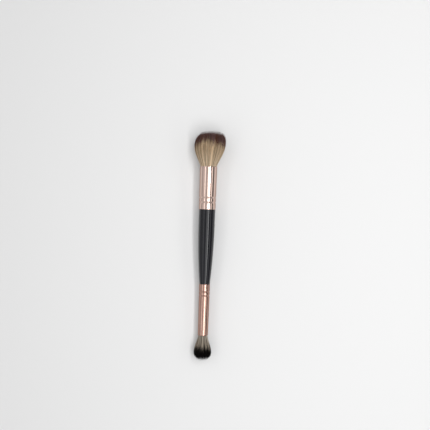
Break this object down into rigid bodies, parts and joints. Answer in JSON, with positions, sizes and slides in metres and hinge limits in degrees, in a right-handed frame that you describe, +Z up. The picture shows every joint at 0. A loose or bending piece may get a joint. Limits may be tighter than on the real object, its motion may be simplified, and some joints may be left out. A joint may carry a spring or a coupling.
{
  "type": "double ended makeup brush",
  "caption": "Slim brush with a large domed tuft at one end and a small blending tuft at the other, metal ferrules and a tapered gloss handle.",
  "frame": {"origin": "middle of the footprint, on the surface that the brush lies on", "axes": "+Y along the brush towards the large tuft, +Z up from the surface, +X across the brush"},
  "size_m": [0.0244, 0.176, 0.0204],
  "materials": {
    "black_lacquer": "black gloss lacquer on turned wood",
    "rose_gold": "polished rose gold anodising",
    "tan_filaments": "fine synthetic filaments, tan with dark brown tips",
    "dark_filaments": "fine synthetic filaments, grey beige at the root and black at the tips",
    "resin": "cured amber resin",
    "thread": "tight wound thread"
  },
  "bodies": {
    "root": {"handle": "black_lacquer", "large_ferrule": "rose_gold", "small_ferrule": "rose_gold", "large_tuft": "tan_filaments", "small_tuft": "dark_filaments", "large_resin_plug": "resin", "small_resin_plug": "resin", "large_binding_thread": "thread", "small_binding_thread": "thread"}
  },
  "joints": []
}
